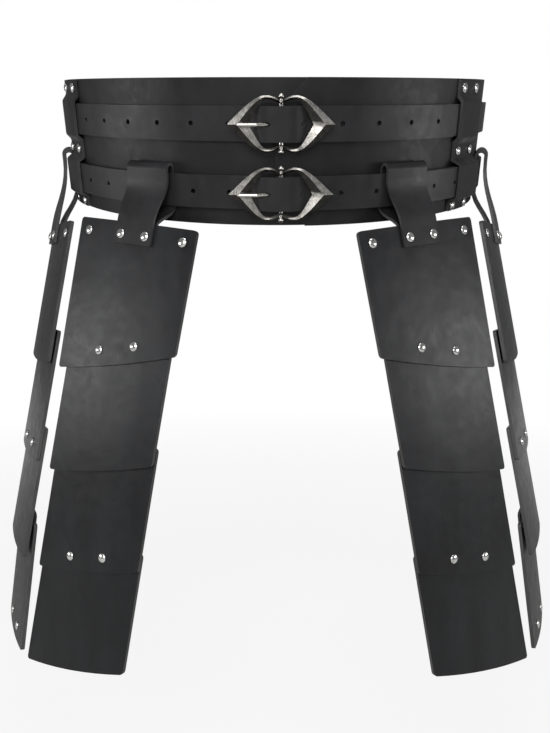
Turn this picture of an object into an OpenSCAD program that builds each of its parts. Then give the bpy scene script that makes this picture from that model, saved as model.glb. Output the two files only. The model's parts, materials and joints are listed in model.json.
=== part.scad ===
// Thigh armour belt: a wide leather waist belt with two buckled straps and four
// columns of overlapping leather plates that hang over the thighs.
// Millimetres, +Z up, +X to the wearer's left as seen from the front on the right,
// -Y to the front. The origin is the centre of the waist opening.

/* [Waist] */
// Half width of the waist opening, side to side
waist_half_w = 199; // [190:1:215]
// Waist centre to the inside of the belt at the front
waist_front = 172; // [160:1:190]
// Waist centre to the inside of the belt at the back
waist_back = 140; // [120:1:160]
// Radius of the rounded sides of the waist opening
side_r = 80; // [60:1:100]
// Tilt of the worn belt, front edge lower than the back
belt_pitch = 18; // [0:1:25]

/* [Wide belt] */
// Height of the wide belt
belt_h = 108; // [100:1:125]
// Thickness of the wide belt
belt_t = 3; // [2:0.1:4]
// How far the inner end runs on under the outer end
lap_len = 62; // [40:1:90]
// Size of the cut corners on the outer end
lap_chamfer = 24; // [8:1:30]

/* [Straps] */
// Width of both narrow straps
strap_w = 25; // [22:0.5:28]
// Thickness of both narrow straps
strap_t = 2.5; // [2:0.1:3]
// Height of the upper strap's middle above the belt's middle
upper_strap_z = 22; // [20:0.5:23]
// Height of the lower strap's middle, below the belt's middle
lower_strap_z = -28; // [-34:1:-26]
// Space behind the upper strap
upper_space = 1.3; // [1.2:0.1:2.5]
// Space behind the lower strap, where the hangers pass
lower_space = 3.1; // [3:0.1:4.5]
// Radius of the punched holes
hole_r = 1.9; // [1.5:0.1:2.4]
// Distance between the punched holes
hole_pitch = 28.8; // [22:0.1:34]
// Punched holes on each side of the buckle
hole_count = 6; // [3:1:6]
// Where the upper strap's tail ends, degrees round from the front
upper_tail_end = 45.5; // [40:0.5:46]
// Where the lower strap's tail ends, under the keeper
lower_tail_end = 54; // [51:0.5:56]

/* [Buckles] */
// Where the buckles sit, to the side of the belt's middle
buckle_x = 4.5; // [-6:0.5:10]
// Half width of a buckle frame, tip to centre
buckle_half_w = 40; // [36:0.5:42]
// Half height of a buckle frame at the lobes
buckle_half_h = 19.8; // [19:0.1:22]
// Half height of a buckle frame at the notch between its lobes
buckle_notch = 15.8; // [14.5:0.1:17]
// Height of the ridge above the frame's back
buckle_ridge = 3.5; // [3:0.1:4.5]
// Radius of the centre bar
bar_r = 1.6; // [1.2:0.1:2]
// Radius of the prong
prong_r = 1.25; // [1:0.05:1.5]
// Distance from the bar to the hole that the prong passes
prong_hole = 10; // [9:0.5:11]
// How far a prong lifts in its hole, degrees
prong_lift = 6; // [4:0.5:8]

/* [Keepers] */
// Width of the four riveted keepers
keeper_w = 38; // [30:1:44]
// Thickness of the keepers
keeper_t = 2.5; // [2:0.1:3]
// Middle of the left keeper, degrees round from the front
left_keeper_az = 61.5; // [60:0.5:64]
// Middle of the right keeper, degrees round from the front
right_keeper_az = 53; // [52:0.5:56]
// Middle of the rear keepers, degrees round from the back
rear_keeper_az = 34; // [24:0.5:42]
// Distance between the two rivets of a row
keeper_rivet_gap = 25; // [18:0.5:30]

/* [Rivets] */
// Radius of a rivet's domed head
head_r = 4; // [3:0.1:5]
// Height of a rivet's domed head
head_h = 1.9; // [1.2:0.1:2.5]
// Radius of a rivet's shank
shank_r = 1.5; // [1.2:0.1:2]
// Thickness of a rivet's washer and of a flat head
washer_t = 0.8; // [0.5:0.1:1]

/* [Hangers] */
// Width of a hanger
hanger_w = 37; // [32:0.5:42]
// Thickness of a hanger's leather
hanger_t = 2.5; // [2:0.1:2.7]
// Clear width inside a hanger's fold
fold_gap = 6.2; // [6:0.1:8]
// How far the fold's centre stands above the strap's top edge
fold_lift = 3; // [1:0.5:5]
// Left front column, degrees round from the front
left_front_az = 30.3; // [30:0.1:31.5]
// Right front column, degrees round from the front
right_front_az = 31.4; // [31:0.1:32.5]
// Left side column, degrees round from the front
left_side_az = 66; // [65.5:0.5:67]
// Right side column, degrees round from the front
right_side_az = 67.5; // [67:0.5:69]
// Side hangers' folds, degrees round from the front
side_hanger_az = 73; // [72.8:0.1:74]
// How far the side hangers sit behind the plates' middle
side_strap_x = 22; // [20:1:26]
// From the hinge down to the front plates
front_drop = 36.8; // [36:0.2:42]
// From the hinge down to the side plates
side_drop = 57; // [54:0.5:60]
// How far the front hangers sit beside their plates' middle, towards the belt's middle
front_strap_x = 2.6; // [0:0.2:4]
// Turn of the front hangers on the belt from their plates, degrees
front_hanger_turn = 2.1; // [0:0.1:3]
// How far a hanger's outer ply runs down over its plate
hanger_lap = 18; // [15:0.5:24]

/* [Plates] */
// Thickness of a plate
plate_t = 3; // [2.5:0.1:3.5]
// Radius that the plates are curved to, side to side
bow_r = 600; // [400:10:900]
// Width of the top plate of a front column
front_top_w = 122.4; // [110:0.2:123]
// Width of the lower plates of a front column
front_low_w = 110; // [100:1:111]
// Width of a side column's plates
side_w = 89; // [84:1:90]
// Visible height of a front column's top plate, at its middle
front_top_h = 116; // [105:1:125]
// Visible height of the other front plates, at their middle
front_step = 91.2; // [84:0.2:98]
// Visible height of a side column's top plate
side_top_h = 128.4; // [115:0.2:135]
// Visible height of the other side plates
side_step = 89.4; // [84:0.2:94]
// How much longer the outer edge of a front plate is than its inner edge
front_slant = 32.5; // [0:0.5:36]
// Overlap of one plate behind the plate above it
plate_lap = 30; // [27:0.5:36]
// Gap between two plates that are riveted together
seat_gap = 0.3; // [0.2:0.05:0.5]
// Gap between two plates that hinge, room for a flat rivet head
hinge_gap = 1.8; // [1.6:0.1:2.5]
// How far the side plates sit towards the front of their hanger
side_shift = 5; // [4:0.2:6]
// Rivets this far from a plate's edge
rivet_edge = 10.5; // [9:0.5:12]
// Distance between the rivets in a hanger
hanger_rivet_gap = 25; // [20:0.5:28]
// Distance between the rivets at the foot of a plate
foot_rivet_gap = 36; // [32:1:44]
// Width of the link straps behind the plates
link_w = 20; // [16:1:24]
// Thickness of the link straps
link_t = 2.2; // [1.8:0.1:2.6]

/* [Hang] */
// Outward swing of the front columns at rest, resting on the belt's lower edge
front_swing = 21.5; // [19:0.5:24]
// Inward bend between the second and third front plates at rest
front_bend = 0.7; // [0:0.1:5]
// Outward swing of the side columns at rest
side_swing = 18.6; // [17:0.2:21]
// Inward bend below the top side plate at rest
side_bend = 0; // [0:0.5:4]
// Inward bend above the bottom side plate at rest
side_foot_bend = 3.5; // [2:0.5:4]
// Turn of the side columns in their own plane, so that their plates hang level
side_lean = 14.5; // [12:0.5:16]

/* [Hidden] */
$fn = 48;

left = -1;
right = 1;
clear = 0.3;
shank_clear = 0.1;
far = 400;
leather = "#2b2b2d";
plate_black = "#38393b";
pewter = "#b3afa9";
nickel = "#d2d2cf";

// Steps between the layers that lie on one another at the front
lap_step = belt_t + 0.8;
strap_step = strap_t + clear;
fold_r = fold_gap / 2 + hanger_t;
side_x = waist_half_w - side_r;
hinge_z = lower_strap_z + strap_w / 2 - 4.5;
hinge_off = belt_t + clear + hanger_t + fold_gap / 2;

// The waist outline is made of arcs that run into one another: a front arc, two
// side arcs and a back arc. These give an arc's radius, its centre's distance
// behind the waist centre and the angle at which it runs into the side arc.
function arc_r(depth) = (side_x * side_x + depth * depth - side_r * side_r) / (2 * (depth - side_r));
function arc_y(depth) = arc_r(depth) - depth;
function arc_end(depth) = atan2(side_x, arc_y(depth));
// The right half lies over the left half at the front, so it is one step deeper
function front_depth(side) = side < 0 ? waist_front : waist_front + lap_step;
// Degrees along the front arc for a length in millimetres
function front_deg(side, len) = len / arc_r(front_depth(side)) * 180 / PI;

function mix(a, b, t) = a * (1 - t) + b * t;
function ease(t) = t * t * (3 - 2 * t);
function bezier(p, t) = mix(mix(mix(p[0], p[1], t), mix(p[1], p[2], t), t),
                            mix(mix(p[1], p[2], t), mix(p[2], p[3], t), t), t);
function unit(v) = v / norm(v);

// Wraps everything in the tilt of the worn belt
module worn() {
  rotate([belt_pitch, 0, 0]) children();
}

// A pie slice of the plane from angle a0 to a1, counted from -Y towards +X
module wedge(a0, a1) {
  polygon([[0, 0], far * [sin(a0), -cos(a0)], far * [sin((a0 + a1) / 2), -cos((a0 + a1) / 2)],
           far * [sin(a1), -cos(a1)]]);
}

module ring(r, u0, u1) {
  difference() {
    circle(r + u1, $fn = 180);
    circle(r + u0, $fn = 180);
  }
}

// Part of a layer on the front arc, u0 to u1 outside the belt's inner face
module front_layer(side, u0, u1, a0, a1) {
  depth = front_depth(side);
  translate([0, arc_y(depth)]) intersection() {
    ring(arc_r(depth), u0, u1);
    wedge(a0, a1);
  }
}

// The waist's outline moved out by u: sectors of the front, side and back arcs that
// overlap, so that nothing is left between them. A sector stops just short of the
// point where its arc touches the next one.
module outline(side, u) {
  depth = front_depth(side);
  translate([0, arc_y(depth)]) intersection() {
    circle(arc_r(depth) + u, $fn = 180);
    wedge(-side * 12, side * (arc_end(depth) - 0.5));
  }
  translate([side * side_x, 0]) circle(side_r + u, $fn = 120);
  translate([0, -arc_y(waist_back)]) intersection() {
    circle(arc_r(waist_back) + u, $fn = 180);
    wedge(side * (180.5 - arc_end(waist_back)), side * 192);
  }
}

// A layer on one side, from an angle at the front round to the middle of the back
module half_layer(side, u0, u1, start) {
  intersection() {
    difference() {
      outline(side, u1);
      outline(side, u0);
      translate([0, arc_y(front_depth(side))]) wedge(-side * 60, side * start);
    }
    translate([side < 0 ? -far : -0.01, -far]) square([far + 0.01, 2 * far]);
  }
}

// Places things on the front arc: +X along the belt to the right, -Y outward
module on_front(side, az, off) {
  depth = front_depth(side);
  rad = arc_r(depth) + off;
  translate([rad * sin(az), arc_y(depth) - rad * cos(az), 0]) rotate([0, 0, az]) children();
}

// The same on the back arc, with the angle counted from the back
module on_back(az, off) {
  rad = arc_r(waist_back) + off;
  translate([rad * sin(az), rad * cos(az) - arc_y(waist_back), 0]) rotate([0, 0, 180 - az]) children();
}

// A hole along Y
module bore(r, depth) {
  rotate([90, 0, 0]) cylinder(h = depth, r = r, center = true);
}

// How far heads and washers stand off the curved leather that they lie on
head_seat = 0.06;
washer_seat = 0.1;

// Rivet along Y: a domed head in front of y = front, a washer behind y = back
module rivet(front, back) {
  rotate([90, 0, 0]) translate([0, 0, head_seat - front]) domed_head();
  translate([0, (front + back) / 2, 0]) bore(shank_r, back - front + 0.4);
  translate([0, back + washer_seat + washer_t / 2, 0]) bore(head_r * 0.8, washer_t);
}

// Rivet with a flat head, for the hidden side of a plate
module flat_rivet(front, back) {
  translate([0, front - head_seat - washer_t / 2, 0]) bore(head_r * 0.8, washer_t);
  translate([0, (front + back) / 2, 0]) bore(shank_r, back - front + 0.4);
  translate([0, back + washer_seat + washer_t / 2, 0]) bore(head_r * 0.8, washer_t);
}

module domed_head() {
  cap_r = (head_r * head_r + head_h * head_h) / (2 * head_h);
  rotate_extrude() intersection() {
    translate([0, head_h - cap_r]) circle(cap_r, $fn = 96);
    square([head_r, head_h]);
  }
}

// Wide belt

module lap_corner(up) {
  edge = belt_h / 2;
  intersection() {
    translate([0, 0, -belt_h]) linear_extrude(2 * belt_h)
      front_layer(left, belt_t + 0.4, belt_t + 12, -8, 12);
    rotate([90, 0, 0]) linear_extrude(far)
      polygon([[-1, up * (edge - lap_chamfer - 1)], [lap_chamfer + 1, up * (edge + 1)], [-1, up * (edge + 1)]]);
  }
}

module wide_belt() {
  color(leather) worn() difference() {
    translate([0, 0, -belt_h / 2]) linear_extrude(belt_h) {
      half_layer(left, 0, belt_t, 0);
      front_layer(left, 0, belt_t, -1, front_deg(left, lap_len));
      half_layer(right, 0, belt_t, 0);
    }
    lap_corner(1);
    lap_corner(-1);
    at_keeper_rivets(left) bore(shank_r + shank_clear, 30);
    at_keeper_rivets(right) bore(shank_r + shank_clear, 30);
    at_rear_rivets(left) bore(shank_r + shank_clear, 30);
    at_rear_rivets(right) bore(shank_r + shank_clear, 30);
  }
}

// Straps: the strap starts in a fold round the buckle's bar, runs right round the
// waist, comes over the bar from the left and ends in a tail on the right.
// Distances here are counted outward from the waist centre, at the front.

function strap_u(space) = belt_t + space;
belt_face = waist_front + lap_step + belt_t;
fold_in = bar_r + 0.15;
fold_out = fold_in + strap_t;
function bar_y(space) = belt_face + space - 1.1 + fold_out;
function over_bar(space) = bar_y(space) + fold_out + clear;

// A point on the front arc, u outside the belt's inner face, and the way it runs
function on_arc(side, a, u) = let (r = arc_r(front_depth(side)) + u) [r * sin(a), r * cos(a) - arc_y(front_depth(side))];
function arc_way(a) = [cos(a), -sin(a)];
function arc_at(side, x, u) = asin(x / (arc_r(front_depth(side)) + u));
// A smooth run from one point and direction to another
function swoop(p0, t0, p1, t1, n) = let (d = norm(p1 - p0) * 0.42)
  [for (i = [0 : n]) bezier([p0, p0 + t0 * d, p1 - t1 * d, p1], i / n)];
function normal_at(p, i) = let (d = unit(p[min(i + 1, len(p) - 1)] - p[max(i - 1, 0)])) [-d[1], d[0]];
// Turns a line of points into a closed strip of even thickness, a hair proud of the
// arcs that it runs into
proud = 0.04;
function strip(p, t) = concat([for (i = [0 : len(p) - 1]) p[i] + normal_at(p, i) * (t + proud)],
                              [for (i = [len(p) - 1 : -1 : 0]) p[i] - normal_at(p, i) * proud]);

// The fold round the bar: the end turned back and thinned towards its tip, the bend,
// and the outer ply that runs on round the waist
function bend_round(bar, r, a0, a1) = [for (i = [0 : 12]) let (a = mix(a0, a1, i / 12))
  [buckle_x + r * cos(a), bar + r * sin(a)]];

module fold_plan(space) {
  bar = bar_y(space);
  a_join = arc_at(right, buckle_x + 23, strap_u(space));
  back = swoop([buckle_x, bar - fold_out], [1, 0], on_arc(right, a_join, belt_t + 0.2), arc_way(a_join), 10);
  lift = [for (i = [0 : 10]) [0, mix(strap_t, min(space - 0.5, 1.2), ease(i / 10))]];
  ply = swoop([buckle_x, bar + fold_in], [1, 0], on_arc(right, a_join, strap_u(space)), arc_way(a_join), 10);
  mirror([0, 1]) polygon(concat([for (i = [10 : -1 : 1]) back[i]], bend_round(bar, fold_out, 270, 90),
                                strip(ply, strap_t), bend_round(bar, fold_in, 90, 270),
                                [for (i = [1 : 10]) back[i] + lift[i]]));
}

module strap_plan(space, tail_end) {
  u = strap_u(space);
  u_tail = u + strap_step;
  over = over_bar(space);
  a_under = arc_at(left, buckle_x - buckle_half_w + 6, u);
  a_land = arc_at(right, buckle_x + 22, u_tail);
  fold_plan(space);
  half_layer(right, u, u + strap_t, arc_at(right, buckle_x + 23, u) - 0.15);
  half_layer(left, u, u + strap_t, -a_under - 0.15);
  mirror([0, 1]) polygon(strip(concat(
    swoop(on_arc(left, a_under, u), arc_way(a_under), [buckle_x - 5, over], [1, 0], 12),
    swoop([buckle_x + 4, over], [1, 0], on_arc(right, a_land, u_tail), arc_way(a_land), 12)), strap_t));
  front_layer(right, u_tail, u_tail + strap_t, a_land - 0.15, tail_end);
}

prong_tilt = 25;
hole_x = buckle_x - prong_hole;
tail_hole_x = hole_x + hole_pitch - 3.3;

worn_hole = [for (a = [0 : 22.5 : 337.5])
  [(prong_r + 0.45) * sin(a), (prong_r + 0.3 + 15 * sin(prong_lift / 2)) * cos(a)]];

module strap(z, space, tail_end) {
  u = strap_u(space);
  slot = bar_r + 1.3 + clear;
  color(leather) worn() difference() {
    translate([0, 0, z - strap_w / 2]) linear_extrude(strap_w) strap_plan(space, tail_end);
    for (i = [0 : hole_count - 1]) {
      on_front(left, -front_deg(left, i * hole_pitch + hole_pitch - hole_x), u + strap_t / 2)
        translate([0, 0, z]) bore(hole_r, 2 * strap_t);
      on_front(right, front_deg(right, i * hole_pitch + tail_hole_x), u + strap_step + (i == 0 ? 2.6 : -0.15))
        translate([0, -4, z]) bore(hole_r, 8);
    }
    // The hole that the prong passes, worn long by its lift, and the slot for its eye
    translate([buckle_x, -bar_y(space), z]) rotate([0, 0, prong_tilt + prong_lift / 2])
      translate([-5, 0, 0]) rotate([0, -90, 0]) linear_extrude(14) polygon(worn_hole);
    translate([buckle_x - fold_out - 1, -bar_y(space) - fold_out - 0.1, z - prong_r - 0.6])
      cube([fold_out + 1 + slot, fold_out + 0.1 + slot, 2 * prong_r + 1.2]);
    // The tail's end is cut off at its corners
    on_front(right, tail_end, u + strap_step) for (s = [-1, 1]) translate([0, 0, z + s * (strap_w / 2 + 0.6)])
      rotate([0, 45, 0]) cube([6, 4 * strap_t, 6], center = true);
  }
}

// Buckle frame: each quarter of the ring is a row of five-sided sections that run
// from a pointed tip, up a slanting arm and round a lobe to the notch.

function quarter_line(tip, lobe, notch, t) =
  let (lobe_x = 10.4 * buckle_half_w / 38,
       arm = [[tip, 0], [mix(tip, lobe_x, 0.32), lobe * 0.42], [mix(tip, lobe_x, 0.68), lobe], [lobe_x, lobe]],
       round = [[lobe_x, lobe], [lobe_x * 0.5, lobe], [lobe_x * 0.28, mix(lobe, notch, 0.62)], [0, notch]])
  t < 0.6 ? bezier(arm, t / 0.6) : bezier(round, (t - 0.6) / 0.4);
function rim_at(t) =
  let (outer = quarter_line(buckle_half_w, buckle_half_h, buckle_notch, t),
       crest = quarter_line(buckle_half_w - 7.4, buckle_half_h - 1.2, buckle_notch - 0.8, t),
       inner = quarter_line(buckle_half_w - 16, buckle_half_h - 2.8, buckle_notch - 2, t),
       top = mix(buckle_ridge, buckle_ridge * 0.76, ease(min(t / 0.6, 1))))
  [[outer, 0], [outer, 1.2], [crest, top], [inner, 1.2], [inner, 0]];
quarter_steps = 14;
function rim_section(i) =
  let (q = floor(i / quarter_steps), k = i % quarter_steps,
       t = q % 2 == 0 ? k / quarter_steps : 1 - k / quarter_steps,
       sx = q == 0 || q == 3 ? 1 : -1,
       sz = q < 2 ? 1 : -1)
  [for (p = rim_at(t)) [sx * p[0][0], -p[1], sz * p[0][1]]];

module buckle_rim() {
  count = 4 * quarter_steps;
  rows = [for (i = [0 : count - 1]) each rim_section(i)];
  faces = [for (i = [0 : count - 1]) for (j = [0 : 4])
    let (a = i * 5 + j, b = i * 5 + (j + 1) % 5, n = ((i + 1) % count) * 5)
    each [[a, b, n + (j + 1) % 5], [a, n + (j + 1) % 5, n + j]]];
  polyhedron(rows, faces);
}

function rim_y(space) = bar_y(space) + 3.5;

module buckle(z, space) {
  rim = rim_y(space) - bar_y(space);
  color(pewter) worn() translate([buckle_x, -bar_y(space), z]) {
    translate([0, -rim, 0]) buckle_rim();
    cylinder(h = 2 * buckle_notch - 2, r = bar_r, center = true);
    for (s = [-1, 1]) {
      translate([0, 1, s * (buckle_notch - 1.05)]) rotate([90, 0, 0]) cylinder(h = rim + 2, r = 0.95, $fn = 32);
      translate([0, -rim - 2, s * (buckle_notch + 3.4)]) sphere(2.1, $fn = 24);
      translate([0, -rim - 2, s * (buckle_notch + 0.9)]) cylinder(h = 3, r = 1.1, center = true, $fn = 24);
    }
  }
}

// Prong: an eye round the bar, a rod that comes up through the strap's hole, a knee
// and a tapered rod that lies across to the frame's pointed tip.
prong_reach = buckle_half_w - 7;

module prong(z, space) {
  lie = rim_y(space) - bar_y(space) + buckle_ridge + prong_r + clear;
  run = lie / sin(prong_tilt);
  knee_x = lie / tan(prong_tilt);
  long = prong_reach - knee_x;
  color(nickel) worn() translate([buckle_x, -bar_y(space), z]) difference() {
    union() {
      cylinder(h = 2 * prong_r + 0.6, r = bar_r + 1.3, center = true);
      rotate([0, 0, prong_tilt]) translate([-2, 0, 0]) rotate([0, -90, 0]) cylinder(h = run - 2, r = prong_r);
      translate([-knee_x, -lie, 0]) {
        sphere(prong_r * 1.08);
        rotate([0, -90, 0]) rotate_extrude()
          polygon([[0, 0], [prong_r, 0], [prong_r * 0.85, long - 1], [prong_r * 0.4, long], [0, long]]);
      }
    }
    cylinder(h = 10, r = bar_r + 0.06, center = true);
  }
}

// Keepers: strips riveted to the wide belt above, between and below the straps,
// which they arch over. Each is revolved about the arc that it lies on.

rivet_rows = [belt_h / 2 - 7, (upper_strap_z + lower_strap_z) / 2, -belt_h / 2 + 5];
keeper_end = belt_h / 2 - 0.5;

// Smooth step between two distances from the belt's inner face, over a run in height
function slope(z0, z1, u0, u1) = [for (i = [0 : 6]) [mix(u0, u1, ease(i / 6)), mix(z0, z1, i / 6)]];
// One face of a keeper from its top to its foot. The four slopes are given by where
// they start and end, counted from the straps' edges.
function keeper_face(low, over_upper, over_lower, s) = let (
    top = upper_strap_z + strap_w / 2, mid_up = upper_strap_z - strap_w / 2,
    mid_low = lower_strap_z + strap_w / 2, foot = lower_strap_z - strap_w / 2)
  concat([[low, keeper_end]],
         slope(top + s[1], top + s[0], low, over_upper),
         slope(mid_up - s[0], mid_up - s[2], over_upper, low),
         slope(mid_low + s[2], mid_low + s[0], low, over_lower),
         slope(foot - s[3], foot - s[4], over_lower, low),
         [[low, -keeper_end]]);

module keeper_profile(r, over_upper, over_lower) {
  low = belt_t + 0.15;
  inner = keeper_face(low, over_upper, over_lower, [0.5, 6, 5, 0.5, 2.5]);
  outer = keeper_face(low + keeper_t, over_upper + keeper_t, over_lower + keeper_t, [1, 8.4, 7.4, 1.7, 4.4]);
  translate([r, 0]) polygon(concat(inner, [for (i = [len(outer) - 1 : -1 : 0]) outer[i]]));
}

module front_keeper(side, az, over_upper, over_lower) {
  depth = front_depth(side);
  half = keeper_w / 2 / arc_r(depth) * 180 / PI;
  color(leather) worn() difference() {
    translate([0, arc_y(depth), 0]) rotate([0, 0, side * az - 90 - half])
      rotate_extrude(angle = 2 * half, $fn = 360) keeper_profile(arc_r(depth), over_upper, over_lower);
    at_keeper_rivets(side) bore(shank_r + shank_clear, 30);
  }
}

module rear_keeper(side) {
  half = keeper_w / 2 / arc_r(waist_back) * 180 / PI;
  over_upper = strap_u(upper_space) + strap_t + clear;
  over_lower = strap_u(lower_space) + strap_t + clear;
  color(leather) worn() difference() {
    translate([0, -arc_y(waist_back), 0]) rotate([0, 0, 90 - side * rear_keeper_az - half])
      rotate_extrude(angle = 2 * half, $fn = 360) keeper_profile(arc_r(waist_back), over_upper, over_lower);
    at_rear_rivets(side) bore(shank_r + shank_clear, 30);
  }
}

module left_keeper() {
  front_keeper(left, left_keeper_az, strap_u(upper_space) + strap_t + clear, strap_u(lower_space) + strap_t + clear);
}

module right_keeper() {
  tail = lower_tail_end > right_keeper_az - 5 ? strap_step : 0;
  front_keeper(right, right_keeper_az, strap_u(upper_space) + strap_t + clear,
               strap_u(lower_space) + strap_t + tail + clear);
}

module at_keeper_rivets(side) {
  az = side < 0 ? left_keeper_az : right_keeper_az;
  half = front_deg(side, keeper_rivet_gap / 2);
  for (s = [-1, 1]) for (z = rivet_rows) on_front(side, side * az + s * half, 0) translate([0, 0, z]) children();
}

module at_rear_rivets(side) {
  half = keeper_rivet_gap / 2 / arc_r(waist_back) * 180 / PI;
  for (s = [-1, 1]) for (z = rivet_rows)
    on_back(side * rear_keeper_az + s * half, 0) translate([0, 0, z]) children();
}

keeper_face_u = belt_t + 0.15 + keeper_t;

module keeper_rivets(side) {
  color(nickel) worn() at_keeper_rivets(side) rivet(-keeper_face_u - 0.05, 0);
}

module rear_rivets(side) {
  color(nickel) worn() at_rear_rivets(side) rivet(-keeper_face_u - 0.05, 0);
}

// Columns. A column's frame has its origin on the hinge, +X towards the outer side
// of the leg, -Y outward and -Z down the column.

module at_column(side, az, swing, lean) {
  worn() on_front(side, side * az, hinge_off) translate([0, 0, hinge_z]) rotate([-swing, 0, 0]) {
    if (side < 0) mirror([1, 0, 0]) rotate([0, lean, 0]) children();
    else rotate([0, lean, 0]) children();
  }
}

function front_az(side) = side < 0 ? left_front_az : right_front_az;
function side_az(side) = side < 0 ? left_side_az : right_side_az;

module at_front(side) {
  at_column(side, front_az(side), front_swing, 0) children();
}

module at_side(side) {
  at_column(side, side_az(side), side_swing, side_lean) translate([-side_shift, 0, 0]) children();
}

// Depth of each plate's middle behind the top plate's middle
front_depths = [0, plate_t + seat_gap, 2 * plate_t + seat_gap + hinge_gap, 3 * plate_t + 2 * seat_gap + hinge_gap];
side_depths = [0, plate_t + hinge_gap, 2 * plate_t + hinge_gap + seat_gap, 3 * plate_t + 2 * hinge_gap + seat_gap];

// Distances down the column to each plate's foot and top
function foot(drop, first, step, n) = drop + first + (n - 1) * step;
function front_foot(n) = foot(front_drop, front_top_h, front_step, n);
function side_foot(n) = foot(side_drop, side_top_h, side_step, n);
function front_top(n) = n == 1 ? front_drop : front_foot(n - 1) - plate_lap;
function side_top(n) = n == 1 ? side_drop : side_foot(n - 1) - plate_lap;

// Turns what is below a hinge inward about the top edge of the plate there
module below(top, depth, bend) {
  edge = [0, depth - plate_t / 2, -top];
  translate(edge) rotate([bend, 0, 0]) translate(-edge) children();
}

module front_bent(n) {
  if (n < 3) children();
  else below(front_top(3), front_depths[2], front_bend) children();
}

module side_bent(n) {
  if (n == 1) children();
  else below(side_top(2), side_depths[1], side_bend) {
    if (n < 4) children();
    else below(side_top(4), side_depths[3], side_foot_bend) children();
  }
}

// Turns things about the axis of the plates' curve, so that they stand square to it
module on_bow(x) {
  translate([0, bow_r, 0]) rotate([0, 0, asin(x / bow_r)]) translate([0, -bow_r, 0]) children();
}

function corner(a, b, c, r) = let (u = unit(a - b), v = unit(c - b))
  [for (i = [0 : 4]) bezier([b + u * r, b + u * r * 0.45, b + v * r * 0.45, b + v * r], i / 4)];

// Outline of a plate: level top, slanting foot that bulges a little
module plate_outline(top, foot, w_top, w_foot, slant) {
  tl = [-w_top / 2, -top];
  tr = [w_top / 2, -top];
  bl = [-w_foot / 2, -foot + slant / 2];
  br = [w_foot / 2, -foot - slant / 2];
  swell = [for (i = [1 : 7]) mix(br, bl, i / 8) - [0, 10 * i / 8 * (1 - i / 8)]];
  polygon(concat(corner(bl, tl, tr, 3), corner(tl, tr, br, 3),
                 corner(tr, br, swell[0], 3), swell, corner(swell[6], bl, tl, 3)));
}

module plate(top, foot, w_top, w_foot, slant, depth) {
  intersection() {
    translate([0, 0, -foot - 60]) linear_extrude(foot - top + 120) intersection() {
      translate([0, bow_r]) ring(bow_r - depth, -plate_t / 2, plate_t / 2);
      translate([-100, -10]) square([200, 60]);
    }
    translate([0, 60, 0]) rotate([90, 0, 0]) linear_extrude(80) plate_outline(top, foot, w_top, w_foot, slant);
  }
}

// Rivet places. At the head of a column: two in the hanger and two beside it. At
// the foot of a plate: two, in line with its slanting edge.

module at_head_rivets(top, w, side_only) {
  for (s = [-1, 1]) {
    if (!side_only)
      on_bow(s * hanger_rivet_gap / 2 - front_strap_x) translate([0, 0, -top - rivet_edge]) children();
    if (side_only) on_bow(s * (w / 2 - 11.5)) translate([0, 0, -top - rivet_edge]) children();
  }
}

module at_foot_rivets(foot, w, slant, shift = 0) {
  for (s = [-1, 1]) let (x = s * foot_rivet_gap / 2 - shift) on_bow(x)
    translate([0, 0, -foot + rivet_edge + 1 - x * slant / w]) children();
}

// The hidden rivets that hold a link strap to the top of a hinged plate
module at_link_rivets(top, gap, shift = 0) {
  for (s = [-1, 1]) on_bow(s * gap / 2 - shift) translate([0, 0, -top - rivet_edge]) children();
}

// Where the hanger's rivets sit in a side column, beside the plates' middle
module at_side_hanger_rivets() {
  for (s = [-1, 1]) on_bow(side_strap_x + s * hanger_rivet_gap / 2)
    translate([0, 0, -side_drop - rivet_edge]) children();
}

module at_side_link_rivets(top) {
  for (s = [-1, 1]) on_bow(side_strap_x + s * hanger_rivet_gap / 2)
    translate([0, 0, -top - rivet_edge]) children();
}

module at_side_lone_rivet() {
  on_bow(-side_w / 2 + 11.5) translate([0, 0, -side_drop - rivet_edge]) children();
}

module front_plate(side, n) {
  top = front_top(n);
  foot = front_foot(n);
  w_top = n == 1 ? front_top_w : front_low_w - 2;
  w_foot = n == 1 ? front_top_w - 1 : front_low_w;
  color(plate_black) at_front(side) front_bent(n) difference() {
    plate(top, foot, w_top, w_foot, front_slant, front_depths[n - 1]);
    if (n == 1) {
      at_head_rivets(front_drop, w_top, false) bore(shank_r + shank_clear, 40);
      at_head_rivets(front_drop, w_top, true) bore(shank_r + shank_clear, 40);
    }
    if (n < 3) at_foot_rivets(front_foot(1), front_top_w, front_slant, front_strap_x) bore(shank_r + shank_clear, 60);
    if (n > 2) at_foot_rivets(front_foot(3), front_low_w, front_slant) bore(shank_r + shank_clear, 80);
    if (n == 3) at_link_rivets(top, foot_rivet_gap, front_strap_x) bore(shank_r + shank_clear, 80);
  }
}

module side_plate(side, n) {
  color(plate_black) at_side(side) side_bent(n) difference() {
    plate(side_top(n), side_foot(n), side_w, side_w, 0, side_depths[n - 1]);
    if (n == 1) {
      at_side_hanger_rivets() bore(shank_r + shank_clear, 40);
      at_side_lone_rivet() bore(shank_r + shank_clear, 40);
    }
    if (n == 2 || n == 3) at_foot_rivets(side_foot(2), side_w, 0) bore(shank_r + shank_clear, 80);
    if (n == 2) at_side_link_rivets(side_top(2)) bore(shank_r + shank_clear, 80);
    if (n == 4) {
      at_foot_rivets(side_foot(4), side_w, 0) bore(shank_r + shank_clear, 80);
      at_link_rivets(side_top(4), foot_rivet_gap) bore(shank_r + shank_clear, 80);
    }
  }
}

// Lofted leather: hangers and link straps are drawn as rows of points that run from
// one end to the other, and get their thickness square to the surface.

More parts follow.
